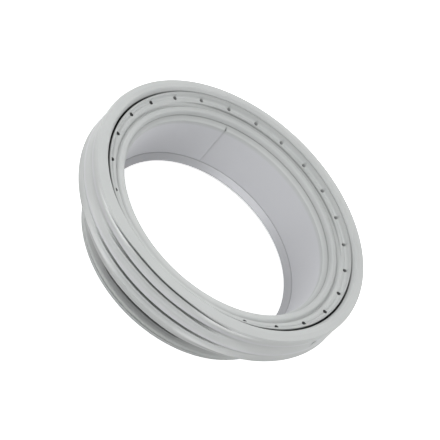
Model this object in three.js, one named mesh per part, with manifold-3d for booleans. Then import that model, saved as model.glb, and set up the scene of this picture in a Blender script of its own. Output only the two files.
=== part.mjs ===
// Washing machine door seal: one rubber moulding, turned about the Z axis, in millimetres.
// It lies on its back flange at Z = 0 with the sealing lip upward, and the side
// that faces the viewer in the photograph is -Y.
import * as THREE from "three";
import { mergeVertices } from "three/addons/utils/BufferGeometryUtils.js";
import Module from "manifold-3d";

const wasm = await Module();
wasm.setup();

// Whole seal
const sealHeight = 111.5;
const turnSegments = 84;
const wideFillet = 2;

// Sealing lip, the flat ring on top
const lipInnerRadius = 172.8;
const lipOuterRadius = 184.6;
const lipInnerBevel = 1.4;
const lipEdgeRound = 1.2;

// Slot between the lip and the inner ring
const slotWidth = 3;
const slotFloorHeight = 86;

// Folds on the outside: each one ends in an edge with a groove under it
const foldGrooveRadius = 178.6;
const grooveOpening = 1.6;
const firstGrooveHeight = 105.4;
const firstFoldRadius = 188;
const firstFoldShoulderHeight = 103.4;
const firstFoldEdgeHeight = 98.6;
const secondGrooveHeight = 93.6;
const secondFoldRadius = 189.9;
const secondFoldEdgeHeight = 80.8;
const thirdGrooveHeight = 75.6;
const thirdFoldRadius = 191.4;
const thirdFoldHeight = 69;
const thirdFoldLipRadius = 181.5;
const thirdFoldLipHeight = 53;

// Tapered cuff that hangs from the third fold down to a bead above the flange
const cuffTopRadius = 172;
const cuffTopHeight = 49.5;
const cuffFootRadius = 156;
const cuffBeadRadius = 157.6;
const cuffBeadHeight = 9.6;
const cuffEndHeight = 7.4;
const cuffWall = 4;

// Hollow between the cuff and the tube, under the web and the inner ring
const hollowRadius = 175;
const hollowShoulderHeight = 63;
const webUnderHeight = 80.5;
const slotInnerWall = 3.6;
const ringUnderHeight = 90.5;

// Inner ring with its row of drain holes
const rimHeight = 105.2;
const rimWidth = 2.4;
const holeRowRadius = 165;
const holeRowHeight = 101.5;
const holeDiameter = 3.6;
const holeCount = 24;
const holePhaseDegrees = 4.85;
const stepRadius = 161.4;
const stepTopHeight = 100.8;
const stepFootHeight = 97.4;
const valleyRadius = 156.8;
const valleyHeight = 96.2;
const innerLipRadius = 147.1;
const innerLipHeight = 98;
const creaseHeight = 89.4;

// Tube between the inner ring and the back flange
const tubeInnerRadius = 142.2;
const tubeWall = 4.4;
const tubeTopHeight = 83;
const tubeRound = 3;

// Back flange that seats on the tub, and the foot lip turned into the bore
const flangeRadius = 157.4;
const flangeThickness = 4.6;
const footLipRadius = 135.3;
const footLipHeight = 10.7;
const footLipThickness = 2.4;
const footSeatRadius = 146;
const footCornerHeight = 17.8;

// Seam bead left by the mould on the inside of the tube
const seamAngleDegrees = 127;
const seamWidth = 1.6;
const seamStand = 0.7;

// Locating pad that bridges the folds on one side
const padAngleDegrees = -15;
const padSpanDegrees = 16;
const padRadius = 188.6;
const padTopHeight = 100;
const padFootHeight = 72;

const colours = { rubber: "#c6c9c8" };

// A corner of the section: its radius, its height and the fillet on it.
const corner = (radius, height, fillet = 0) => ({
  at: new THREE.Vector2(radius, height),
  fillet,
});

// The closed outline through the corners: a wide fillet takes two steps and a fine one a single step.
function filletedOutline(corners) {
  const outline = [];
  corners.forEach((here, index) => {
    const before = corners.at(index - 1).at;
    const after = corners[(index + 1) % corners.length].at;
    if (here.fillet === 0) {
      outline.push(here.at.clone());
      return;
    }
    const back = before.clone().sub(here.at);
    const ahead = after.clone().sub(here.at);
    const half = Math.abs(back.angleTo(ahead)) / 2;
    const reach = Math.min(
      here.fillet / Math.tan(half),
      0.45 * back.length(),
      0.45 * ahead.length(),
    );
    const start = here.at.clone().addScaledVector(back.normalize(), reach);
    const end = here.at.clone().addScaledVector(ahead.normalize(), reach);
    const arc = new THREE.QuadraticBezierCurve(start, here.at, end);
    outline.push(...arc.getPoints(here.fillet < wideFillet ? 1 : 2));
  });
  return outline;
}

// The section of the whole seal: over the lip, down the folds, up the hollow, down the tube,
// around the flange and back up the bore to the slot.
function sealSection() {
  const slotInner = lipInnerRadius - slotWidth;
  const ringSide = slotInner - slotInnerWall;
  const tubeOuter = tubeInnerRadius + tubeWall;
  return [
    corner(lipInnerRadius, slotFloorHeight),
    corner(lipInnerRadius, sealHeight - lipInnerBevel),
    corner(lipInnerRadius + lipInnerBevel, sealHeight),
    corner(lipOuterRadius, sealHeight, lipEdgeRound),
    corner(foldGrooveRadius, firstGrooveHeight + grooveOpening),
    corner(foldGrooveRadius, firstGrooveHeight),
    corner(firstFoldRadius - 2, firstFoldShoulderHeight, 2),
    corner(firstFoldRadius, firstFoldEdgeHeight, 1.4),
    corner(foldGrooveRadius, secondGrooveHeight + grooveOpening),
    corner(foldGrooveRadius, secondGrooveHeight),
    corner(secondFoldRadius - 3.8, secondFoldEdgeHeight + 4, 2),
    corner(secondFoldRadius, secondFoldEdgeHeight),
    corner(foldGrooveRadius, thirdGrooveHeight + grooveOpening),
    corner(foldGrooveRadius, thirdGrooveHeight),
    corner(thirdFoldRadius, thirdFoldHeight, 3),
    corner(thirdFoldLipRadius, thirdFoldLipHeight, 1),
    corner(cuffTopRadius, thirdFoldLipHeight + 0.5),
    corner(cuffTopRadius, cuffTopHeight),
    corner(cuffFootRadius, cuffBeadHeight + 2),
    corner(cuffBeadRadius, cuffBeadHeight),
    corner(cuffBeadRadius - 0.8, cuffEndHeight),
    corner(cuffFootRadius - cuffWall, cuffEndHeight),
    corner(cuffTopRadius - cuffWall, cuffTopHeight),
    corner(cuffTopRadius - cuffWall, hollowShoulderHeight - 7),
    corner(hollowRadius, hollowShoulderHeight),
    corner(hollowRadius, webUnderHeight),
    corner(ringSide, webUnderHeight),
    corner(ringSide, ringUnderHeight),
    corner(tubeOuter, ringUnderHeight),
    corner(tubeOuter, flangeThickness),
    corner(flangeRadius, flangeThickness),
    corner(flangeRadius, 0),
    corner(footSeatRadius, 0),
    corner(footLipRadius, footLipHeight - footLipThickness),
    corner(footLipRadius, footLipHeight),
    corner(tubeInnerRadius, footCornerHeight),
    corner(tubeInnerRadius, tubeTopHeight, tubeRound),
    corner(innerLipRadius, creaseHeight),
    corner(innerLipRadius, innerLipHeight, 3),
    corner(valleyRadius - 3.2, innerLipHeight, 1.6),
    corner(valleyRadius, valleyHeight, 1.6),
    corner(stepRadius, stepFootHeight),
    corner(stepRadius, stepTopHeight),
    corner(holeRowRadius, holeRowHeight),
    corner(slotInner - rimWidth, rimHeight - 0.5),
    corner(slotInner, rimHeight),
    corner(slotInner, slotFloorHeight),
  ];
}

// A three.js geometry as a solid, its vertices merged and its face directions kept.
function solidFrom(geometry) {
  const bare = geometry.index ? geometry.toNonIndexed() : geometry.clone();
  bare.deleteAttribute("normal");
  bare.deleteAttribute("uv");
  const merged = mergeVertices(bare, 1e-3);
  return new wasm.Manifold(
    new wasm.Mesh({
      numProp: 3,
      vertProperties: merged.attributes.position.array,
      triVerts: new Uint32Array(merged.index.array),
    }),
  );
}

function geometryFrom(solid) {
  const mesh = solid.getMesh();
  const geometry = new THREE.BufferGeometry();
  geometry.setAttribute("position", new THREE.BufferAttribute(mesh.vertProperties, 3));
  geometry.setIndex(new THREE.BufferAttribute(mesh.triVerts, 1));
  geometry.computeVertexNormals();
  return geometry;
}

// The section turned once around, standing on Z. Run backwards, the outline faces outward.
function turnedBody() {
  const outline = filletedOutline(sealSection()).reverse();
  outline.push(outline[0].clone());
  return solidFrom(new THREE.LatheGeometry(outline, turnSegments).rotateX(Math.PI / 2));
}

// One drain hole through the inner ring, at its place in the row.
function holeCutter(index) {
  const depth = rimHeight - ringUnderHeight + 8;
  const angle = THREE.MathUtils.degToRad(holePhaseDegrees + (index * 360) / holeCount);
  const cutter = new THREE.CylinderGeometry(holeDiameter / 2, holeDiameter / 2, depth, 8);
  cutter.rotateX(Math.PI / 2);
  cutter.translate(holeRowRadius, 0, ringUnderHeight + depth / 2 - 4);
  cutter.rotateZ(angle);
  return solidFrom(cutter);
}

// The seam bead, sunk into the tube wall so that only its stand shows.
function seamBead() {
  const height = tubeTopHeight - footCornerHeight;
  const sunk = tubeWall / 2;
  const bead = new THREE.BoxGeometry(seamStand + sunk, seamWidth, height);
  bead.translate(
    tubeInnerRadius + (sunk - seamStand) / 2,
    0,
    footCornerHeight + height / 2,
  );
  bead.rotateZ(THREE.MathUtils.degToRad(seamAngleDegrees));
  return solidFrom(bead);
}

// The pad, a curved block that stands across the first and second grooves.
function locatingPad() {
  const half = THREE.MathUtils.degToRad(padSpanDegrees) / 2;
  const middle = THREE.MathUtils.degToRad(padAngleDegrees);
  const plan = new THREE.Shape();
  plan.absarc(0, 0, padRadius, middle - half, middle + half, false);
  plan.absarc(0, 0, foldGrooveRadius - 2, middle + half, middle - half, true);
  plan.closePath();
  const pad = new THREE.ExtrudeGeometry(plan, {
    depth: padTopHeight - padFootHeight,
    bevelEnabled: false,
    curveSegments: 4,
  });
  pad.translate(0, 0, padFootHeight);
  return solidFrom(pad);
}

function doorSeal() {
  let solid = turnedBody().add(seamBead()).add(locatingPad());
  for (let index = 0; index < holeCount; index += 1) {
    solid = solid.subtract(holeCutter(index));
  }
  const material = new THREE.MeshStandardMaterial({
    color: colours.rubber,
    roughness: 0.5,
    metalness: 0,
  });
  const mesh = new THREE.Mesh(geometryFrom(solid), material);
  mesh.name = "door_seal";
  return mesh;
}

const seal = new THREE.Group();
seal.name = "washing_machine_door_seal";
seal.add(doorSeal());

export default seal;
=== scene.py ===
"""A door seal for a front-loading washing machine, lying on its back flange in a plain pale studio.

The seal is one grey rubber moulding turned about the Z axis. Its section is given in millimetres
by named radii and heights, and is turned station by station, so that the grooves between the folds
can stand open at the front, on the -Y side, and close up farther round. Angles are in degrees.
"""

import logging
import math
from dataclasses import dataclass, field
from enum import Enum

import bpy
import numpy as np
from mathutils import Matrix, Vector


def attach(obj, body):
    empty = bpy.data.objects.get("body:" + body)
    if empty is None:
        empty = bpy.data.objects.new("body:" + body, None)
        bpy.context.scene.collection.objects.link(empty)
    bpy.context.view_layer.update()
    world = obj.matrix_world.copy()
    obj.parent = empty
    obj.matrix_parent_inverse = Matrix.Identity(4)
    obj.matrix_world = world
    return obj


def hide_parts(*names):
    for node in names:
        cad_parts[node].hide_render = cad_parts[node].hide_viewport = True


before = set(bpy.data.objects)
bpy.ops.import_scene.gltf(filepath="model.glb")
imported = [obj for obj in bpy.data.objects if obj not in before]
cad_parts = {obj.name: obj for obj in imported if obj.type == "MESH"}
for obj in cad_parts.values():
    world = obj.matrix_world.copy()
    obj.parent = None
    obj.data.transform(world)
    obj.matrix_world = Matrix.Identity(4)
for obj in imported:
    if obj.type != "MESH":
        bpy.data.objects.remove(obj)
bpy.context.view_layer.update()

SEAL_NODE = "door_seal"
BODY = "root"
MILLIMETRE = 0.001
FRONT_ANGLE = -90.0
SHARP_FROM = 50.0
FILLET_SHARE = 0.46
TINY_LENGTH = 1e-6
TINY_TANGENT = 1e-3
ANGLE_DIGITS = 6
# Point attributes that paint light and shade into the rubber's colour: painted bounce light in the
# bore with faint painted highlights on the folds, bright painted highlights where the grooves open,
# and painted shade in grooves, slot, holes and under the skirt
PAINTED_LIGHT = "painted_light"
PAINTED_SHADE_MAP = "grime_shade"
PAINTED_HIGHLIGHT = "painted_highlight"
LOG = logging.getLogger("door_seal")

# A radius and a height in millimetres, and a colour as red, green and blue
Place = tuple[float, float]
Colour = tuple[float, float, float]


def smooth_step(value: np.ndarray, start: float, end: float) -> np.ndarray:
    """Eases from 0 at start to 1 at end.

    Args:
        value: The values to ease.
        start: Where the result leaves 0.
        end: Where the result reaches 1.

    Returns:
        The eased values, each from 0 to 1.
    """
    share = np.clip((value - start) / (end - start), 0.0, 1.0)
    return share * share * (3.0 - 2.0 * share)


def blend(start: float | np.ndarray, end: float | np.ndarray, share: np.ndarray) -> np.ndarray:
    """Goes from start to end as share goes from 0 to 1."""
    return start + (end - start) * share


def turn_between(angle: np.ndarray, centre: float) -> np.ndarray:
    """Gives the signed turn from centre to each angle, from -180 to 180."""
    return (angle - centre + 180.0) % 360.0 - 180.0


def beside(place: Place, offset: Place) -> Place:
    """Gives the place that lies so far outward and so far up from another."""
    return place[0] + offset[0], place[1] + offset[1]


class Spot(Enum):
    """Stretches of the section, by what is done to them after it is turned."""

    PLAIN = "plain"
    WALL = "wall"
    LEDGE = "ledge"
    HOLE_TOP = "hole_top"
    HOLE_UNDER = "hole_under"


class Change(Enum):
    """Changes around the seal, each with the turns from the front where it starts and ends."""

    FOLDS_CLOSE = (6.0, 37.0)
    SKIRT_DROPS = (10.0, 33.0)
    GAP_CLOSES = (16.0, 32.0)
    RING_SETTLES = (16.0, 42.0)
    # Painted shade in the grooves thins out between these turns
    SHADE_THINS = (0.0, 33.0)
    # Painted highlights on the folds' edges show between these turns
    HIGHLIGHT_STARTS = (9.0, 21.0)
    HIGHLIGHT_ENDS = (28.0, 44.0)
    SLOT_NARROWS = (92.0, 136.0)
    STEP_DEEPENS = (105.0, 150.0)
    # Painted shade on the foot lip fades out between these turns
    FOOT_SHADE_FADES = (140.0, 175.0)

    def done(self, turn: np.ndarray) -> np.ndarray:
        """Tells how far the change has gone at each turn from the front, from 0 to 1."""
        start, end = self.value
        return smooth_step(turn, start, end)


@dataclass(frozen=True)
class Posture:
    """How the soft rubber stands, and how much painted shade and highlight show, at each station, each
    from 0 to 1.
    """

    folds_open: np.ndarray
    skirt_open: np.ndarray
    gap_open: np.ndarray
    ring_raised: np.ndarray
    slot_closed: np.ndarray
    step_deep: np.ndarray
    lines_shown: np.ndarray
    rubbed: np.ndarray
    foot_soiled: np.ndarray

    @classmethod
    def at(cls, angles: np.ndarray) -> "Posture":
        """Works out the posture at each angle, from the turn away from the front.

        Args:
            angles: The stations' angles.

        Returns:
            The posture at every station.
        """
        turn = np.abs(turn_between(angles, FRONT_ANGLE))
        return cls(
            folds_open=1.0 - Change.FOLDS_CLOSE.done(turn),
            skirt_open=1.0 - Change.SKIRT_DROPS.done(turn),
            gap_open=1.0 - Change.GAP_CLOSES.done(turn),
            ring_raised=1.0 - Change.RING_SETTLES.done(turn),
            slot_closed=Change.SLOT_NARROWS.done(turn),
            step_deep=Change.STEP_DEEPENS.done(turn),
            lines_shown=1.0 - Change.SHADE_THINS.done(turn),
            rubbed=Change.HIGHLIGHT_STARTS.done(turn) * (1.0 - Change.HIGHLIGHT_ENDS.done(turn)),
            foot_soiled=1.0 - Change.FOOT_SHADE_FADES.done(turn),
        )


@dataclass(frozen=True)
class Bend:
    """A corner of the section that goes from start to end as the rubber's posture changes."""

    start: Place
    end: Place
    fillet: float
    steps: int
    # Painted shade at the bend, from 0 to 1
    grime: float = 0.0


@dataclass(frozen=True)
class Corner:
    """A corner of the section, with one value for all stations or one for each.

    Attributes:
        radius: Its distance from the axis in millimetres.
        height: Its height in millimetres.
        fillet: Its fillet in millimetres.
        steps: The number of steps along the fillet.
        spot: The stretch of the section that it belongs to.
        grime: How much painted shade darkens it, from 0 to 1.
    """

    radius: float | np.ndarray
    height: float | np.ndarray
    fillet: float = 0.0
    steps: int = 3
    spot: Spot = Spot.PLAIN
    grime: float | np.ndarray = 0.0

    @classmethod
    def at(cls, bend: Bend, share: np.ndarray, soiled: float | np.ndarray = 1.0) -> "Corner":
        """Places a bend part of the way through its change.

        Args:
            bend: The bend.
            share: How far the change has gone at each station, from 0 to 1.
            soiled: How much of the bend's painted shade shows at each station, from 0 to 1.

        Returns:
            The corner.
        """
        radius = blend(bend.start[0], bend.end[0], share)
        height = blend(bend.start[1], bend.end[1], share)
        return cls(radius, height, bend.fillet, bend.steps, grime=bend.grime * soiled)


@dataclass(frozen=True)
class Streak:
    """A streak of painted highlight around the seal, which fades out across and upward."""

    radius: float
    height: float
    across: float
    upward: float
    strength: float = 1.0

    def on(self, outline: np.ndarray) -> np.ndarray:
        """Gives the streak's strength at every point of the outline."""
        across = (outline[..., 0] - self.radius) / self.across
        upward = (outline[..., 1] - self.height) / self.upward
        return self.strength * np.exp(-(np.hypot(across, upward) ** 2))


@dataclass
class SealSection:
    """The section of the seal in millimetres, from the seat of the back flange upward."""

    height: float = 111.5

    lip_inner: float = 172.8
    lip_bevel: float = 2.6
    lip_bevel_raised: float = 0.9
    lip_bevel_foot: float = 106.3
    lip_bevel_closed: float = 1.2
    lip_edge_raised: float = 1.0
    lip_outer: float = 184.6
    lip_spread: float = 2.6
    lip_brim: float = 3.5

    slot_width: float = 2.5
    slot_closed_width: float = 0.5
    slot_raised_width: float = 0.4
    slot_floor: float = 86.0
    slot_closed_floor: float = 106.6
    slot_dark_from: float = 2.5
    slot_closed_wall: Place = (0.2, 0.1)
    # Painted shade left in the slot where it closes
    slot_closed_grime: float = 0.3

    groove_root: float = 177.6
    first_fold: float = 188.0
    first_fold_edge: float = 98.6
    second_fold: float = 189.9
    second_fold_edge: float = 80.8
    third_fold: float = 191.3
    third_fold_height: float = 69.6

    # Bends of the lip and folds, from closed up to standing open, with painted shade in the grooves
    lip_edge: Bend = Bend((lip_outer + lip_spread, 110.6), (lip_outer, height), 0.9, 3)
    lip_underside: Bend = Bend((188.3, 107.8), (lip_outer - 0.6, 109.4), 0.4, 2, 0.2)
    first_groove_roof: Bend = Bend((187.9, 107.1), (groove_root, 102.8), 0.5, 2, 0.8)
    first_groove_floor: Bend = Bend((187.9, 106.7), (groove_root, 100.9), 0.8, 2, 0.6)
    first_fold_crest: Bend = Bend((188.2, 106.2), (first_fold - 3.0, 108.3), 0.7, 3, 0.22)
    first_fold_side: Bend = Bend((188.5, 103.4), (first_fold - 1.0, 103.4), 3.5, 4)
    second_groove_roof: Bend = Bend((187.3, 95.8), (groove_root + 0.4, 88.4), 0.8, 3, 0.5)
    second_groove_floor: Bend = Bend((187.0, 92.8), (groove_root + 0.4, 85.4), 1.0, 2, 0.4)
    second_fold_crest: Bend = Bend((187.4, 89.2), (second_fold - 3.6, 94.5), 1.6, 4, 0.22)
    second_fold_side: Bend = Bend((189.0, 84.2), (second_fold - 1.2, 88.4), 3.0, 4)
    third_groove_roof: Bend = Bend((188.6, 77.8), (groove_root + 1.4, 69.2), 0.7, 3, 0.6)
    third_groove_floor: Bend = Bend((188.5, 77.0), (groove_root + 1.4, 66.4), 0.8, 2, 0.4)
    third_fold_crest: Bend = Bend((188.9, 75.8), (188.3, 76.0), 1.8, 4, 0.25)
    third_fold_side: Bend = Bend((third_fold - 1.6, 66.0), (third_fold, 65.0), 3.0, 3, 0.3)
    skirt_edge: Bend = Bend((181.5, 53.0), (190.4, 61.2), 0.7, 3)

    cuff_top_radius: float = 172.0
    cuff_top: float = 49.5
    cuff_foot_radius: float = 156.0
    cuff_foot: float = 10.8
    cuff_bead_radius: float = 157.6
    cuff_bead: float = 8.6
    cuff_end_radius: float = cuff_bead_radius - 0.8
    cuff_end: float = 6.6
    cuff_wall: float = 4.0
    cuff_inside_front: float = 160.4
    # Least painted shade on the cuff's side, where the gap closes
    cuff_shade_least: float = 2.0 / 3.0

    # Bends of the gap between the skirt and the cuff, from closed up to standing open, with painted
    # shade under the skirt
    skirt_underside: Bend = Bend((174.5, 53.4), (177.6, 52.0), 0.8, 2, 1.0)
    gap_roof: Bend = Bend((172.2, 52.6), (165.0, 50.6), 1.5, 1, 1.0)
    gap_back: Bend = Bend((172.0, 51.0), (163.8, 38.0), 1.5, 1, 1.0)
    cuff_shoulder: Bend = Bend((cuff_top_radius, cuff_top), (169.4, 34.6), 1.5, 3, 0.9)
    cuff_side: Bend = Bend((162.7, 27.0), (159.2, 21.0), 5.0, 4, 0.6)

    hollow_radius: float = 175.0
    hollow_shoulder: float = 63.0
    hollow_slope: float = 7.0
    # Painted shade in the hollow behind the cuff
    hollow_grime: float = 0.5
    web_under: float = 80.5
    slot_inner_wall: float = 1.8
    ring_under: float = 90.5

    rim_height: float = 106.2
    rim_raised_height: float = 110.9
    rim_closed_rise: float = 0.6
    rim_width: float = 1.4
    rim_closed_shift: float = 1.6
    rim_top_drop: float = 0.4
    rim_top_raised_drop: float = 1.4
    rim_top_closed_rise: float = 0.9
    hole_row_radius: float = 165.0
    hole_row_height: float = 101.5
    hole_line_depth: float = 0.5
    hole_line_width: float = 0.7
    band_slope: float = 0.2
    band_turns_up: Place = (1.2, 3.0)
    rim_slope: float = 1.45
    step_radius: float = 161.4
    step_top: float = 100.6
    step_foot: float = 97.2

    # Bends of the step beside the holes, from shallow at the front to deep at the back, with painted
    # shade in its crease
    step_brink: Bend = Bend((159.0, 98.4), (step_radius - 0.9, step_foot + 0.5), 0.5, 2, 0.35)
    step_crease: Bend = Bend((159.6, 98.9), (step_radius + 0.7, step_foot - 1.1), 0.2, 1, 0.6)
    step_face: Bend = Bend((160.0, 99.3), (step_radius + 0.1, step_foot + 0.5), 0.3, 2, 0.3)
    step_edge: Bend = Bend((160.8, 100.4), (step_radius, step_top), 0.9, 3)

    valley_radius: float = 156.8
    valley: float = 94.6
    valley_back: float = 96.2
    valley_filled: float = 98.3
    inner_lip: Place = (147.8, 98.3)
    inner_lip_back: Place = (valley_radius - 3.2, inner_lip[1] + 0.2)
    crease: Place = (146.0, 89.2)
    crease_back: Place = (1.2, 0.9)
    crease_roof: Place = (0.7, 2.0)

    tube_inner: float = 142.2
    tube_wall: float = 4.4
    tube_top: float = 84.4
    tube_round: float = 2.4
    nub_rows: tuple[float, ...] = (7.0, 6.0, 5.2, 4.4)

    flange_radius: float = 156.0
    flange: float = 4.0
    foot_seat: float = 146.0
    foot_lip_radius: float = 135.3
    foot_lip: float = 10.7
    foot_lip_thickness: float = 2.4
    foot_corner: Place = (tube_inner, 17.8)
    foot_bead: Place = (-0.9, -0.9)
    foot_crease: Place = (0.5, -0.7)
    foot_wall: Place = (0.0, 0.6)
    # Painted shade on the foot lip, most at the front and least at the back
    foot_grime: float = 0.34
    foot_grime_least: float = 0.1

    # Where the bore's wall is painted lighter as painted bounce light: its distance from the tube's
    # inside, and its depth under the top
    bore_reach: float = 3.0
    bore_fades: float = 1.5
    bore_pale_from: Place = (2.0, 8.0)

    # Faint painted highlights along the folds' edges
    pale_highlight_streaks: tuple[Streak, ...] = (
        Streak(first_fold, first_fold_edge + 0.6, 3.0, 1.5),
        Streak(second_fold, second_fold_edge + 0.6, 3.0, 1.5),
        Streak(skirt_edge.end[0], skirt_edge.end[1] + 1.6, 3.0, 1.5),
    )
    # Bright painted highlights on the folds' edges
    highlight_streaks: tuple[Streak, ...] = (
        Streak(first_fold - 0.9, 106.6, 2.5, 1.3),
        Streak(second_fold - 0.6, second_fold_edge + 2.2, 2.5, 1.3),
        Streak(third_fold, third_fold_height, 2.5, 1.6, 0.9),
    )

    def band_height(self, radius: float) -> float:
        """Height of the ring's top near the hole row: a gentle slope that turns up into the rim."""
        offset = radius - self.hole_row_radius
        slope = blend(self.band_slope, self.rim_slope, smooth_step(offset, *self.band_turns_up))
        line = self.hole_line_depth * max(1.0 - abs(offset) / self.hole_line_width, 0.0)
        return float(self.hole_row_height + offset * slope - line)

    def slot_bottom(self, posture: Posture) -> np.ndarray:
        """Height of the slot's floor at each station."""
        return blend(self.slot_floor, self.slot_closed_floor, posture.slot_closed)

    def slot_grime(self, posture: Posture) -> np.ndarray:
        """Painted shade in the slot at each station."""
        return blend(1.0, self.slot_closed_grime, posture.slot_closed) * (1.0 - posture.ring_raised)

    def lip_corners(self, posture: Posture) -> list[Corner]:
        """Lists the corners from the slot's floor up to the top of the lip, with painted shade down
        the slot.
        """
        closed = posture.slot_closed
        raised = posture.ring_raised
        floor = self.slot_bottom(posture)
        grime = self.slot_grime(posture)
        bevel = blend(self.lip_bevel, self.lip_bevel_raised, raised)
        bevel_foot = blend(self.lip_bevel_foot, self.slot_closed_floor + self.lip_bevel_closed, closed)
        bevel_foot = blend(bevel_foot, self.height - self.lip_edge_raised, raised)
        wall = blend(bevel_foot - self.slot_dark_from, floor + self.slot_closed_wall[1], closed)
        return [
            Corner(self.lip_inner, floor, grime=grime),
            Corner(self.lip_inner, wall, grime=0.8 * grime),
            Corner(self.lip_inner, bevel_foot, fillet=1.2, grime=0.2 * grime),
            Corner(self.lip_inner + bevel, self.height, fillet=1.6, steps=4),
            Corner(self.lip_outer - self.lip_brim, self.height, fillet=2.0, steps=2),
        ]

    def fold_corners(self, posture: Posture) -> list[Corner]:
        """Lists the corners from the lip's outer edge down to the skirt's edge, with painted shade in
        the grooves.
        """
        skirt = posture.skirt_open
        folded = 1.0 - skirt
        third = (self.third_fold, self.third_fold_height)

        def opening(*bends: Bend) -> list[Corner]:
            """Places bends that open with the folds, with painted shade where the grooves show."""
            return [Corner.at(bend, posture.folds_open, posture.lines_shown) for bend in bends]

        return [
            *opening(self.lip_edge, self.lip_underside),
            *opening(self.first_groove_roof, self.first_groove_floor),
            *opening(self.first_fold_crest, self.first_fold_side),
            Corner(self.first_fold, self.first_fold_edge, fillet=0.9, steps=4),
            *opening(self.second_groove_roof, self.second_groove_floor),
            *opening(self.second_fold_crest, self.second_fold_side),
            Corner(self.second_fold, self.second_fold_edge, fillet=0.9, steps=4),
            *opening(self.third_groove_roof, self.third_groove_floor, self.third_fold_crest),
            Corner(*third, fillet=3.0, steps=5, grime=0.1 * folded),
            Corner.at(self.third_fold_side, skirt, folded),
            Corner.at(self.skirt_edge, skirt),
        ]

    def cuff_corners(self, posture: Posture) -> list[Corner]:
        """Lists the corners from under the skirt down the cuff and up its inside, with painted shade
        under the skirt.
        """
        gap = posture.gap_open
        bends = (self.skirt_underside, self.gap_roof, self.gap_back, self.cuff_shoulder)
        inside = blend(self.cuff_top_radius - self.cuff_wall, self.cuff_inside_front, gap)
        inside_foot = self.cuff_foot_radius - self.cuff_wall
        inside_top = self.hollow_shoulder - self.hollow_slope
        shade_amount = self.hollow_grime
        return [
            *[Corner.at(bend, gap) for bend in bends],
            Corner.at(self.cuff_side, gap, blend(self.cuff_shade_least, 1.0, gap)),
            Corner(self.cuff_foot_radius, self.cuff_foot, fillet=0.8, grime=0.15),
            Corner(self.cuff_bead_radius, self.cuff_bead, fillet=0.8),
            Corner(self.cuff_end_radius, self.cuff_end, fillet=0.6, steps=2),
            Corner(inside_foot, self.cuff_end, fillet=0.6, steps=2, grime=shade_amount),
            Corner(inside, self.cuff_top, fillet=1.5, steps=1, grime=shade_amount),
            Corner(inside, inside_top, fillet=1.5, steps=1, grime=shade_amount),
        ]

    def hollow_corners(self) -> list[Corner]:
        """Lists the corners up the hollow, under the ring and down the outside of the tube, with
        painted shade in the hollow.
        """
        ring_side = self.lip_inner - self.slot_width - self.slot_inner_wall
        tube_outer = self.tube_inner + self.tube_wall
        shade_amount = self.hollow_grime
        return [
            Corner(self.hollow_radius, self.hollow_shoulder, fillet=2.0, steps=1, grime=shade_amount),
            Corner(self.hollow_radius, self.web_under, fillet=2.0, steps=1, grime=shade_amount),
            Corner(ring_side, self.web_under, fillet=1.0, steps=1, grime=shade_amount),
            Corner(ring_side, self.ring_under),
            Corner(self.hole_row_radius, self.ring_under, spot=Spot.HOLE_UNDER),
            Corner(tube_outer, self.ring_under, fillet=1.5, steps=2, grime=shade_amount),
            Corner(tube_outer, self.flange, fillet=1.0, grime=0.6),
        ]

    def foot_corners(self, posture: Posture) -> list[Corner]:
        """Lists the corners around the back flange and over the foot lip to the bore's wall, with
        painted shade on the foot lip.
        """
        least = self.foot_grime_least
        shade_amount = blend(least, self.foot_grime, posture.foot_soiled)
        bead = beside(self.foot_corner, self.foot_bead)
        crease = beside(self.foot_corner, self.foot_crease)
        wall = beside(self.foot_corner, self.foot_wall)
        return [
            Corner(self.flange_radius, self.flange, fillet=0.8),
            Corner(self.flange_radius, 0.0, fillet=0.8),
            Corner(self.foot_seat, 0.0, fillet=0.8, steps=2),
            Corner(self.foot_lip_radius, self.foot_lip - self.foot_lip_thickness, fillet=0.7),
            Corner(self.foot_lip_radius, self.foot_lip, fillet=0.7, grime=shade_amount),
            Corner(*bead, fillet=0.3, steps=2, grime=shade_amount),
            Corner(*crease, fillet=0.3, steps=2, grime=0.45),
            Corner(*wall, fillet=0.3, steps=2, spot=Spot.WALL, grime=least),
        ]

    def bore_corners(self) -> list[Corner]:
        """Lists the corners at the top of the tube, and of the crease under the inner lip, with
        painted shade in the crease.
        """
        heights = [self.tube_top - drop for drop in self.nub_rows]
        back = beside(self.crease, self.crease_back)
        roof = beside(self.crease, self.crease_roof)
        return [
            *[Corner(self.tube_inner, height, spot=Spot.WALL) for height in heights],
            Corner(self.tube_inner, self.tube_top, self.tube_round, steps=5, spot=Spot.LEDGE),
            Corner(*self.crease, fillet=0.3, steps=1, grime=0.2),
            Corner(*back, fillet=0.3, steps=2, grime=0.5),
            Corner(*roof, fillet=0.8, steps=2, grime=0.1),
        ]

    def ring_corners(self, posture: Posture) -> list[Corner]:
        """Lists the corners from the inner lip over the ring with its holes to the slot, with painted
        shade in its hollows.
        """
        raised = posture.ring_raised
        closed = posture.slot_closed
        deep = posture.step_deep
        valley = blend(self.valley, self.valley_back, deep)
        valley = blend(valley, self.valley_filled, raised)
        step = (self.step_brink, self.step_crease, self.step_face, self.step_edge)
        row = (self.hole_row_radius, self.hole_row_height)
        return [
            Corner(*self.inner_lip, fillet=3.4, steps=6),
            Corner(*self.inner_lip_back, fillet=2.0, steps=4),
            Corner(self.valley_radius, valley, fillet=1.3, steps=4, grime=0.16),
            *[Corner.at(bend, deep, deep) for bend in step],
            Corner(*row, spot=Spot.HOLE_TOP, grime=0.2 * closed),
            *self.rim_corners(posture),
        ]

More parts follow.
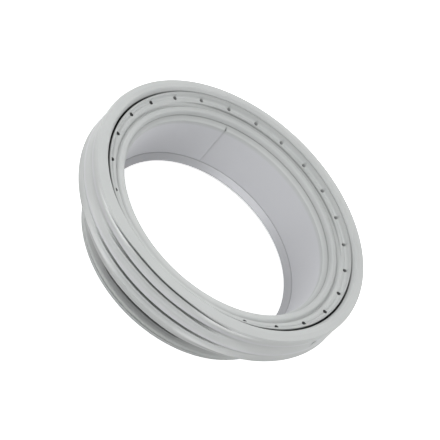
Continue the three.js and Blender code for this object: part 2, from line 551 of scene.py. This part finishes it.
    def rim_corners(self, posture: Posture) -> list[Corner]:
        """Lists the corners of the ring's rim, down into the slot, with painted shade in the slot."""
        raised = posture.ring_raised
        closed = posture.slot_closed
        floor = self.slot_bottom(posture)
        grime = self.slot_grime(posture)
        lip, low = self.lip_inner, self.slot_closed_floor
        slot_inner = blend(lip - self.slot_width, lip - self.slot_closed_width, closed)
        slot_inner = blend(slot_inner, lip - self.slot_raised_width, raised)
        rim_radius = lip - self.slot_width - self.rim_width + self.rim_closed_shift * closed
        rim = blend(self.rim_height, low + self.rim_closed_rise, closed)
        rim = blend(rim, self.rim_raised_height, raised)
        rim_top = blend(self.rim_height - self.rim_top_drop, low + self.rim_top_closed_rise, closed)
        rim_top = blend(rim_top, self.rim_raised_height - self.rim_top_raised_drop, raised)
        wall = blend(rim - self.slot_dark_from, floor + self.slot_closed_wall[0], closed)
        return [
            Corner(rim_radius, rim_top, fillet=0.9, steps=4, grime=0.26 * closed),
            Corner(slot_inner, rim, fillet=0.5, grime=0.25 * grime),
            Corner(slot_inner, wall, grime=0.8 * grime),
            Corner(slot_inner, floor, grime=grime),
        ]

    def corners(self, posture: Posture) -> list[Corner]:
        """Lists the corners of the whole closed section.

        Args:
            posture: How the rubber stands at each station.

        Returns:
            The corners, over the lip and folds, up the hollow, down the tube and up the bore.
        """
        return [
            *self.lip_corners(posture),
            *self.fold_corners(posture),
            *self.cuff_corners(posture),
            *self.hollow_corners(),
            *self.foot_corners(posture),
            *self.bore_corners(),
            *self.ring_corners(posture),
        ]

    def painted_light_map(self, outline: np.ndarray) -> np.ndarray:
        """Marks painted light: a paler, painted-lit bore wall and faint painted highlights along the
        folds' edges.
        """
        inward = self.tube_inner + self.bore_reach - outline[..., 0]
        under = self.tube_top - outline[..., 1]
        pale = smooth_step(inward, 0.0, self.bore_fades) * smooth_step(under, *self.bore_pale_from)
        for streak in self.pale_highlight_streaks:
            pale = np.maximum(pale, streak.on(outline))
        return pale

    def painted_highlight(self, outline: np.ndarray, posture: Posture) -> np.ndarray:
        """Marks the painted highlights on the folds' edges where the grooves begin to open."""
        worn = np.zeros(outline.shape[:2])
        for streak in self.highlight_streaks:
            worn = np.maximum(worn, streak.on(outline))
        return worn * posture.rubbed[:, None]


@dataclass(frozen=True)
class RubberFinish:
    """Satin moulded rubber: a light neutral grey with a fine matt grain and faint clouding."""

    name: str = "grey_rubber"
    light: Colour = (0.60, 0.615, 0.61)
    dark: Colour = (0.55, 0.567, 0.562)
    # Painted light: the paler, cooler tone of the painted-lit bore and of faint painted highlights on
    # the folds
    bore: Colour = (0.665, 0.67, 0.695)
    # Painted highlight: the near-white on the folds' edges
    worn: Colour = (0.84, 0.85, 0.85)
    # Painted shade: the near-black mixed in where grooves, slot, holes and the gap under the skirt lie
    # in shade
    grime: Colour = (0.07, 0.073, 0.073)
    dark_until: float = 0.3
    light_from: float = 0.7
    roughness_low: float = 0.50
    roughness_high: float = 0.62
    specular: float = 0.22
    cloud_scale: float = 9.0
    cloud_detail: float = 4.0
    relief_detail: float = 2.0
    grain_scale: float = 900.0
    grain_height: float = 0.00006
    wave_scale: float = 60.0
    wave_height: float = 0.0002

    def material(self) -> bpy.types.Material:
        """Builds the node material.

        Returns:
            The rubber material.
        """
        material = bpy.data.materials.new(self.name)
        material.use_nodes = True
        tree = material.node_tree
        shader = tree.nodes["Principled BSDF"]
        shader.inputs["Specular IOR Level"].default_value = self.specular
        place = tree.nodes.new("ShaderNodeTexCoord").outputs["Object"]

        cloud = self._noise(tree, place, self.cloud_scale, self.cloud_detail)
        grain = self._noise(tree, place, self.grain_scale, self.relief_detail)
        wave = self._noise(tree, place, self.wave_scale, self.relief_detail)

        tone = tree.nodes.new("ShaderNodeValToRGB")
        dark_stop, light_stop = tone.color_ramp.elements
        dark_stop.position = self.dark_until
        dark_stop.color = (*self.dark, 1.0)
        light_stop.position = self.light_from
        light_stop.color = (*self.light, 1.0)
        tree.links.new(cloud, tone.inputs["Fac"])
        # Paint light and shade into the tone: painted bounce light and faint highlights, bright
        # painted highlights, then painted shade
        painted_lit_tone = self._toward(tree, tone.outputs["Color"], self.bore, PAINTED_LIGHT)
        rubbed = self._toward(tree, painted_lit_tone, self.worn, PAINTED_HIGHLIGHT)
        soiled = self._toward(tree, rubbed, self.grime, PAINTED_SHADE_MAP)
        tree.links.new(soiled, shader.inputs["Base Color"])

        rough = tree.nodes.new("ShaderNodeMapRange")
        rough.inputs["To Min"].default_value = self.roughness_low
        rough.inputs["To Max"].default_value = self.roughness_high
        tree.links.new(cloud, rough.inputs["Value"])
        tree.links.new(rough.outputs["Result"], shader.inputs["Roughness"])

        broad = self._bump(tree, wave, self.wave_height)
        fine = self._bump(tree, grain, self.grain_height)
        tree.links.new(broad.outputs["Normal"], fine.inputs["Normal"])
        tree.links.new(fine.outputs["Normal"], shader.inputs["Normal"])
        return material

    @staticmethod
    def _toward(
        tree: bpy.types.NodeTree, base: bpy.types.NodeSocket, colour: Colour, shade: str
    ) -> bpy.types.NodeSocket:
        """Mixes base toward colour where the mesh's named shade says, and returns the result."""
        amount = tree.nodes.new("ShaderNodeAttribute")
        amount.attribute_name = shade
        mix = tree.nodes.new("ShaderNodeMix")
        mix.data_type = "RGBA"
        colour_in = next(socket for socket in mix.inputs if socket.identifier == "A_Color")
        colour_to = next(socket for socket in mix.inputs if socket.identifier == "B_Color")
        colour_out = next(socket for socket in mix.outputs if socket.identifier == "Result_Color")
        colour_to.default_value = (*colour, 1.0)
        tree.links.new(amount.outputs["Fac"], mix.inputs["Factor"])
        tree.links.new(base, colour_in)
        return colour_out

    @staticmethod
    def _noise(
        tree: bpy.types.NodeTree, place: bpy.types.NodeSocket, scale: float, detail: float
    ) -> bpy.types.NodeSocket:
        """Adds a noise texture and returns its value output."""
        noise = tree.nodes.new("ShaderNodeTexNoise")
        noise.inputs["Scale"].default_value = scale
        noise.inputs["Detail"].default_value = detail
        tree.links.new(place, noise.inputs["Vector"])
        return noise.outputs["Fac"]

    @staticmethod
    def _bump(
        tree: bpy.types.NodeTree, height: bpy.types.NodeSocket, depth: float
    ) -> bpy.types.Node:
        """Adds a bump node of the given depth in metres."""
        bump = tree.nodes.new("ShaderNodeBump")
        bump.inputs["Distance"].default_value = depth
        tree.links.new(height, bump.inputs["Height"])
        return bump


@dataclass
class MouldSeam:
    """The seam that the mould leaves in the bore, and the small nub at its top."""

    angle: float = 123.4
    stations: tuple[float, ...] = (-0.6, -0.36, -0.18, 0.0, 0.18, 0.36, 0.6)
    width: float = 3.0
    stand: float = 0.45
    fall: float = 1.6
    # Painted shade along the seam and on its nub
    grime: float = 0.26
    nub_height: float = 86.0
    nub_width: float = 2.2
    nub_stand: float = 0.7
    nub_grime: float = 0.95

    def raise_on(
        self,
        outline: np.ndarray,
        grime: np.ndarray,
        angles: np.ndarray,
        spots: list[Spot],
        radius: float,
    ) -> None:
        """Raises the seam and its nub on the bore's wall, and darkens them with painted shade.

        Args:
            outline: The outline at every station, which this moves.
            grime: The painted shade at every point, which this adds to.
            angles: The stations' angles.
            spots: The stretch of the section that each point belongs to.
            radius: The bore's radius in millimetres.
        """
        across = np.radians(turn_between(angles, self.angle)) * radius
        seam = np.exp(-((across / (self.width / 2)) ** 2) * self.fall)
        nub = np.exp(-((across / (self.nub_width / 2)) ** 2))
        for index, spot in enumerate(spots):
            if spot not in (Spot.WALL, Spot.LEDGE):
                continue
            rise = outline[:, index, 1] - self.nub_height
            reach = np.exp(-((rise / self.nub_width) ** 2))
            outline[:, index, 0] -= self.nub_stand * nub * reach
            if spot is Spot.WALL:
                outline[:, index, 0] -= self.stand * seam
            shade_amount = self.grime * seam + self.nub_grime * reach * nub
            grime[:, index] = np.maximum(grime[:, index], np.minimum(shade_amount, 1.0))


@dataclass
class LocatingPad:
    """The pad that bridges the folds on one side, so that the seal is fitted the right way round."""

    angle: float = -15.0
    span: float = 16.0
    radius: float = 188.6
    top: float = 100.0
    foot: float = 72.0
    end_gap: float = 0.08
    lip_clearance: float = 0.5

    def stations(self) -> list[float]:
        """Lists a close pair of angles at each end of the pad."""
        ends = (self.angle - self.span / 2, self.angle + self.span / 2)
        return [end + gap for end in ends for gap in (-self.end_gap, self.end_gap)]

    def fill(self, outline: np.ndarray, angles: np.ndarray, lip_radius: float) -> None:
        """Fills the folds flush along the pad.

        Args:
            outline: The outline at every station, which this moves.
            angles: The stations' angles.
            lip_radius: The radius of the lip's inner bevel in millimetres.
        """
        radii, heights = outline[..., 0], outline[..., 1]
        inside = np.abs(turn_between(angles, self.angle)) < self.span / 2
        level = (heights > self.foot) & (heights < self.top)
        filled = level & (radii > lip_radius + self.lip_clearance) & inside[:, None]
        radii[filled] = np.maximum(radii[filled], self.radius)


@dataclass
class DrainHoles:
    """The row of small drain holes through the inner ring, each cut in a square patch of mesh."""

    count: int = 24
    diameter: float = 5.0
    phase: float = 4.85
    patch: float = 3.1
    steps: int = 4
    rim_width: float = 0.28
    edge_drop: float = 0.25
    flat_rise: float = 0.45
    # Painted shade on the holes' edges, less toward the back, and where it fades in across the band;
    # the holes' walls and undersides are painted fully dark
    rim_grime: float = 0.9
    rim_grime_back: float = 0.4
    band_shade_from: Place = (1.0, 2.4)

    @property
    def half(self) -> int:
        """The steps from a hole's centre to its edge."""
        return self.steps // 2

    def patch_turn(self, radius: float) -> float:
        """Half the angle that a hole's patch of mesh spans."""
        return math.degrees(self.patch / radius)

    def centres(self) -> np.ndarray:
        """The holes' angles."""
        return (self.phase + np.arange(self.count) * 360.0 / self.count) % 360.0

    def offsets(self, spot: Spot) -> np.ndarray:
        """Lists a patch's rows as offsets from the row of holes, in the outline's order."""
        offsets = np.linspace(-self.patch, self.patch, 2 * self.steps + 1)
        return -offsets if spot is Spot.HOLE_UNDER else offsets

    def ring(self) -> list[tuple[int, int]]:
        """Steps around a hole's edge, as (station, row) offsets from its centre."""
        half = self.half
        side = [(half, row) for row in range(-half, half)]
        top = [(-station, half) for station in range(-half, half)]
        other = [(-half, -row) for row in range(-half, half)]
        foot = [(station, -half) for station in range(-half, half)]
        return side + top + other + foot

    def rounded(self, station: int, row: int) -> tuple[float, float]:
        """Moves a patch point onto its circle.

        Args:
            station: The point's offset in stations from the hole's centre.
            row: The point's offset in rows from the hole's centre.

        Returns:
            The offset along the row and the offset outward, in millimetres.
        """
        pitch = self.patch / self.steps
        along, outward = station * pitch, row * pitch
        level = max(abs(station), abs(row))
        if level in (0, self.steps):
            return along, outward
        reach = math.hypot(along, outward)
        radius = self.diameter / 2
        circle = {1: radius / 2, 2: radius, 3: radius + self.rim_width}[level]
        return along * circle / reach, outward * circle / reach


@dataclass
class DoorSeal:
    """The whole rubber moulding."""

    name: str = "door_seal_rubber"
    section: SealSection = field(default_factory=SealSection)
    seam: MouldSeam = field(default_factory=MouldSeam)
    pad: LocatingPad = field(default_factory=LocatingPad)
    holes: DrainHoles = field(default_factory=DrainHoles)
    finish: RubberFinish = field(default_factory=RubberFinish)
    stations_between: int = 7

    def stations(self) -> np.ndarray:
        """Chooses the angles of the stations.

        Returns:
            The angles, rising, with closely set ones at each hole, the seam and the pad's ends.
        """
        pitch = 360.0 / self.holes.count
        half = self.holes.patch_turn(self.section.hole_row_radius)
        angles: list[float] = []
        for centre in self.holes.centres():
            angles.extend(centre + np.linspace(-half, half, 2 * self.holes.steps + 1))
            gap = np.linspace(half, pitch - half, self.stations_between + 2)
            angles.extend(centre + gap[1:-1])
        angles.extend(self.seam.angle + offset for offset in self.seam.stations)
        angles.extend(self.pad.stations())
        return np.unique(np.round(np.array(angles) % 360.0, ANGLE_DIGITS))

    def filleted(
        self, corners: list[Corner], count: int
    ) -> tuple[np.ndarray, list[Spot], np.ndarray]:
        """Runs the outline through the corners, with an arc at each fillet.

        Args:
            corners: The corners in order, closed on themselves.
            count: The number of stations.

        Returns:
            The points as stations by points by (radius, height), each point's spot, and the
            grime as stations by points.
        """
        places = [
            np.stack(
                [np.broadcast_to(corner.radius, count), np.broadcast_to(corner.height, count)],
                axis=-1,
            )
            for corner in corners
        ]
        points: list[np.ndarray] = []
        spots: list[Spot] = []
        grime: list[np.ndarray] = []
        for index, corner in enumerate(corners):
            shade_amount = np.broadcast_to(corner.grime, count)
            soiled = [1.0]
            if corner.spot in (Spot.HOLE_TOP, Spot.HOLE_UNDER):
                rows = self.hole_rows(corner.spot, count)
                soiled = smooth_step(self.holes.offsets(corner.spot), *self.holes.band_shade_from)
            elif corner.fillet == 0.0:
                rows = [places[index]]
            else:
                after = places[(index + 1) % len(corners)]
                rows = self.arc(places[index - 1], places[index], after, corner)
                soiled = [1.0] * len(rows)
            points.extend(rows)
            spots.extend([corner.spot] * len(rows))
            grime.extend([shade_amount * share for share in soiled])
        return np.stack(points, axis=1), spots, np.stack(grime, axis=1)

    @staticmethod
    def arc(
        before: np.ndarray, here: np.ndarray, after: np.ndarray, corner: Corner
    ) -> list[np.ndarray]:
        """Rounds a corner with an arc that takes less than half of the edge on either side.

        Args:
            before: The place of the corner before it at every station.
            here: Its own place at every station.
            after: The place of the corner after it at every station.
            corner: The corner.

        Returns:
            The arc's rows of points.
        """
        back = before - here
        ahead = after - here
        back_length = np.linalg.norm(back, axis=-1, keepdims=True)
        ahead_length = np.linalg.norm(ahead, axis=-1, keepdims=True)
        back = back / np.maximum(back_length, TINY_LENGTH)
        ahead = ahead / np.maximum(ahead_length, TINY_LENGTH)
        half = np.arccos(np.clip((back * ahead).sum(-1, keepdims=True), -1.0, 1.0)) / 2.0
        reach = corner.fillet / np.maximum(np.tan(half), TINY_TANGENT)
        reach = np.minimum(reach, FILLET_SHARE * back_length)
        reach = np.minimum(reach, FILLET_SHARE * ahead_length)
        start = here + back * reach
        end = here + ahead * reach
        rows = []
        for step in range(corner.steps + 1):
            share = step / corner.steps
            rows.append(start * (1 - share) ** 2 + here * 2 * share * (1 - share) + end * share**2)
        return rows

    def hole_rows(self, spot: Spot, count: int) -> list[np.ndarray]:
        """Rows of points across the ring at the hole row, on its top or on its underside."""
        rows = []
        for offset in self.holes.offsets(spot):
            radius = self.section.hole_row_radius + offset
            height = self.section.ring_under
            if spot is Spot.HOLE_TOP:
                height = self.section.band_height(radius)
            rows.append(np.broadcast_to(np.array([radius, height]), (count, 2)))
        return rows

    def build(self) -> bpy.types.Object:
        """Builds the seal's mesh, dresses it and joins it to the frame.

        Returns:
            The seal's object.
        """
        section = self.section
        angles = self.stations()
        posture = Posture.at(angles)
        outline, spots, grime = self.filleted(section.corners(posture), len(angles))
        self.seam.raise_on(outline, grime, angles, spots, section.tube_inner)
        self.pad.fill(outline, angles, section.lip_inner + section.lip_bevel)
        points = self.turned(outline, angles)
        stations, around = outline.shape[:2]
        grid = np.arange(stations * around).reshape(stations, around)
        keep = np.ones((stations, around), dtype=bool)
        tubes: list[tuple[int, ...]] = []
        top_row = spots.index(Spot.HOLE_TOP) + self.holes.steps
        under_row = spots.index(Spot.HOLE_UNDER) + self.holes.steps
        for centre in self.holes.centres():
            middle = int(np.argmin(np.abs(turn_between(angles, centre))))
            tubes.extend(self.cut_hole(points, keep, grid, middle, top_row, under_row))
            self.shade_hole(grime, posture.slot_closed, middle, top_row, under_row)
        ahead = np.roll(grid, -1, axis=0)
        quads = np.stack(
            [grid, ahead, np.roll(ahead, -1, axis=1), np.roll(grid, -1, axis=1)], axis=-1
        )[keep]
        # The painted light, painted highlights and painted shade, one value for each point
        shades = {
            PAINTED_LIGHT: section.painted_light_map(outline).reshape(-1),
            PAINTED_HIGHLIGHT: section.painted_highlight(outline, posture).reshape(-1),
            PAINTED_SHADE_MAP: grime.reshape(-1),
        }
        mesh = self.mesh_from(points.reshape(-1, 3), quads, tubes, shades)
        mesh.materials.append(self.finish.material())
        seal = bpy.data.objects.new(self.name, mesh)
        bpy.context.collection.objects.link(seal)
        even = seal.modifiers.new("even_shading", "WEIGHTED_NORMAL")
        even.keep_sharp = True
        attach(seal, BODY)
        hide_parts(SEAL_NODE)
        return seal

    @staticmethod
    def turned(outline: np.ndarray, angles: np.ndarray) -> np.ndarray:
        """Turns the outline about Z, and gives its points in millimetres."""
        turn = np.radians(angles)[:, None]
        radii, heights = outline[..., 0], outline[..., 1]
        return np.stack([radii * np.cos(turn), radii * np.sin(turn), heights], axis=-1)

    def cut_hole(
        self,
        points: np.ndarray,
        keep: np.ndarray,
        grid: np.ndarray,
        middle: int,
        top_row: int,
        under_row: int,
    ) -> list[tuple[int, ...]]:
        """Rounds the mesh around one hole, opens it and lines it.

        Args:
            points: The mesh's points, which the rounding moves.
            keep: Marks the quads that stay, which the hole clears.
            grid: The points' numbers, by station and row.
            middle: The station at the hole's centre.
            top_row: The row at the hole's centre on top.
            under_row: The row at the hole's centre underneath.

        Returns:
            The faces of the hole's wall.
        """
        steps = self.holes.steps
        half = self.holes.half
        count = len(grid)
        centre = self.section.hole_row_radius
        angle = math.atan2(points[middle, top_row, 1], points[middle, top_row, 0])
        for station in range(-steps, steps + 1):
            for row in range(-steps, steps + 1):
                along, outward = self.holes.rounded(station, row)
                radius = centre + outward
                turn = angle + along / centre
                at = (middle + station) % count
                height = self.patch_height(radius, max(abs(station), abs(row)))
                x, y = radius * math.cos(turn), radius * math.sin(turn)
                points[at, top_row + row] = (x, y, height)
                points[at, under_row - row] = (x, y, self.section.ring_under)
        for station in range(-half, half):
            at = (middle + station) % count
            keep[at, top_row - half : top_row + half] = False
            keep[at, under_row - half : under_row + half] = False
        ring = self.holes.ring()
        upper = [int(grid[(middle + s) % count, top_row + r]) for s, r in ring]
        lower = [int(grid[(middle + s) % count, under_row - r]) for s, r in ring]
        total = len(ring)
        return [
            (upper[i], upper[(i + 1) % total], lower[(i + 1) % total], lower[i])
            for i in range(total)
        ]

    def patch_height(self, radius: float, level: int) -> float:
        """Height of a patch point on top of the ring, so many steps from the hole's centre."""
        height = self.section.band_height(radius)
        if level < self.holes.steps:
            height = min(height, self.section.hole_row_height + self.holes.flat_rise)
        if level == self.holes.half:
            height -= self.holes.edge_drop
        return height

    def shade_hole(
        self, grime: np.ndarray, closed: np.ndarray, middle: int, top_row: int, under_row: int
    ) -> None:
        """Darkens one hole's edge and wall with painted shade."""
        half = self.holes.half
        rim_grime = blend(self.holes.rim_grime, self.holes.rim_grime_back, closed)
        for station in range(-half, half + 1):
            at = (middle + station) % len(grime)
            grime[at, top_row - half : top_row + half + 1] = rim_grime[at]
            grime[at, under_row - half : under_row + half + 1] = 1.0

    def mesh_from(
        self,
        points: np.ndarray,
        quads: np.ndarray,
        tubes: list[tuple[int, ...]],
        shades: dict[str, np.ndarray],
    ) -> bpy.types.Mesh:
        """Makes the mesh in metres, without the points that the holes cut away.

        Args:
            points: The points in millimetres.
            quads: The faces of the turned body.
            tubes: The faces of the holes' walls.
            shades: The named shades, one value for each point.

        Returns:
            The smooth shaded mesh.
        """
        faces = np.concatenate([quads, np.array(tubes)])
        used, renumbered = np.unique(faces, return_inverse=True)
        places = (points[used] * MILLIMETRE).tolist()
        mesh = bpy.data.meshes.new(self.name)
        mesh.from_pydata(places, [], renumbered.reshape(-1, 4).tolist())
        mesh.update()
        for name, values in shades.items():
            attribute = mesh.attributes.new(name, "FLOAT", "POINT")
            attribute.data.foreach_set("value", values[used].astype(np.float32))
        mesh.shade_smooth()
        mesh.set_sharp_from_angle(angle=math.radians(SHARP_FROM))
        return mesh


@dataclass(frozen=True)
class Lamp:
    """A round soft lamp that faces the seal, its angles taken from the front and the floor."""

    name: str
    azimuth: float
    elevation: float
    power: float
    distance: float = 1.9
    size: float = 1.0

    def hang(self) -> None:
        """Hangs the lamp, turned toward the seal."""
        turn = math.radians(FRONT_ANGLE + self.azimuth)
        rise = math.radians(self.elevation)
        toward = Vector(
            (math.cos(rise) * math.cos(turn), math.cos(rise) * math.sin(turn), math.sin(rise))
        )
        data = bpy.data.lights.new(self.name, "AREA")
        data.shape = "DISK"
        data.size = self.size
        data.energy = self.power
        lamp = bpy.data.objects.new(self.name, data)
        bpy.context.collection.objects.link(lamp)
        lamp.location = toward * self.distance
        lamp.rotation_euler = toward.to_track_quat("Z", "Y").to_euler()


@dataclass
class PaleStudio:
    """The floor, the lamps and the camera, in metres."""

    floor_size: float = 4.4
    floor_colour: Colour = (0.97, 0.97, 0.97)
    floor_bounce: Colour = (0.6, 0.6, 0.6)
    floor_lift: float = 0.65
    floor_roughness: float = 0.9
    white: Colour = (1.0, 1.0, 1.0)
    world_light: float = 0.05
    lamps: tuple[Lamp, ...] = (
        Lamp("key_left", -45.0, 45.0, 16.0),
        Lamp("key_right", 45.0, 45.0, 10.5),
        Lamp("front_fill", 0.0, 45.0, 4.5),
        Lamp("side_left", -90.0, 20.0, 3.5),
        Lamp("side_right", 90.0, 20.0, 3.5),
        Lamp("back_left", -135.0, 20.0, 12.0),
        Lamp("back_right", 135.0, 20.0, 12.0),
        Lamp("back_fill", 180.0, 20.0, 4.0),
    )
    camera_place: tuple[float, float, float] = (-0.000486, -0.801098, 0.740482)
    camera_elevation: float = 40.071397
    camera_roll: float = 43.867114
    lens_millimetres: float = 69.665
    sensor_millimetres: float = 36.0
    nearest_seen: float = 0.01
    half_pixel: float = 0.5 / 440.0

    def build(self) -> None:
        """Sets the stage."""
        self._camera()
        self._floor()
        self._world()
        for lamp in self.lamps:
            lamp.hang()

    def _camera(self) -> None:
        """Places the camera where the photograph was taken from."""
        data = bpy.data.cameras.new("camera")
        data.lens = self.lens_millimetres
        data.sensor_width = self.sensor_millimetres
        data.clip_start = self.nearest_seen
        data.shift_x = -self.half_pixel
        data.shift_y = self.half_pixel
        camera = bpy.data.objects.new("camera", data)
        bpy.context.collection.objects.link(camera)
        tilt = Matrix.Rotation(math.radians(90.0 - self.camera_elevation), 4, "X")
        roll = Matrix.Rotation(math.radians(self.camera_roll), 4, "Z")
        camera.matrix_world = Matrix.Translation(self.camera_place) @ tilt @ roll
        bpy.context.scene.camera = camera

    def _floor(self) -> None:
        """Lays a pale floor under the seal."""
        half = self.floor_size / 2
        corners = [(-half, -half, 0), (half, -half, 0), (half, half, 0), (-half, half, 0)]
        mesh = bpy.data.meshes.new("floor")
        mesh.from_pydata(corners, [], [(0, 1, 2, 3)])
        floor = bpy.data.objects.new("floor", mesh)
        bpy.context.collection.objects.link(floor)
        material = bpy.data.materials.new("pale_floor")
        material.use_nodes = True
        tree = material.node_tree
        seen = tree.nodes["Principled BSDF"]
        seen.inputs["Base Color"].default_value = (*self.floor_colour, 1.0)
        seen.inputs["Emission Color"].default_value = (*self.white, 1.0)
        seen.inputs["Emission Strength"].default_value = self.floor_lift
        seen.inputs["Roughness"].default_value = self.floor_roughness
        seen.inputs["Specular IOR Level"].default_value = 0.0
        bounce = tree.nodes.new("ShaderNodeBsdfDiffuse")
        bounce.inputs["Color"].default_value = (*self.floor_bounce, 1.0)
        shown = self._where_seen(tree, bounce.outputs["BSDF"], seen.outputs["BSDF"])
        tree.links.new(shown, tree.nodes["Material Output"].inputs["Surface"])
        mesh.materials.append(material)

    def _world(self) -> None:
        """Lights the scene softly from all round, with a white backdrop."""
        world = bpy.data.worlds.new("soft_light")
        bpy.context.scene.world = world
        world.use_nodes = True
        tree = world.node_tree
        light = tree.nodes["Background"]
        light.inputs["Color"].default_value = (*self.white, 1.0)
        light.inputs["Strength"].default_value = self.world_light
        backdrop = tree.nodes.new("ShaderNodeBackground")
        backdrop.inputs["Color"].default_value = (*self.white, 1.0)
        shown = self._where_seen(tree, light.outputs["Background"], backdrop.outputs["Background"])
        tree.links.new(shown, tree.nodes["World Output"].inputs["Surface"])

    @staticmethod
    def _where_seen(
        tree: bpy.types.NodeTree, lit: bpy.types.NodeSocket, seen: bpy.types.NodeSocket
    ) -> bpy.types.NodeSocket:
        """Shows one shader to the camera, in gloss and through glass, and lights with the other."""
        path = tree.nodes.new("ShaderNodeLightPath")
        share = path.outputs["Is Camera Ray"]
        for ray in ("Is Glossy Ray", "Is Transmission Ray"):
            either = tree.nodes.new("ShaderNodeMath")
            either.operation = "MAXIMUM"
            tree.links.new(share, either.inputs[0])
            tree.links.new(path.outputs[ray], either.inputs[1])
            share = either.outputs["Value"]
        pick = tree.nodes.new("ShaderNodeMixShader")
        tree.links.new(share, pick.inputs["Fac"])
        tree.links.new(lit, pick.inputs[1])
        tree.links.new(seen, pick.inputs[2])
        return pick.outputs["Shader"]


def main() -> None:
    """Builds the scene."""
    logging.basicConfig(level=logging.INFO)
    bpy.context.scene.view_settings.view_transform = "Standard"
    studio = PaleStudio()
    studio.build()
    LOG.info("studio: camera, floor and %d lamps", len(studio.lamps))
    seal = DoorSeal().build()
    LOG.info("%s: %d points, %d faces", seal.name, len(seal.data.vertices), len(seal.data.polygons))


if __name__ == "__main__":
    main()
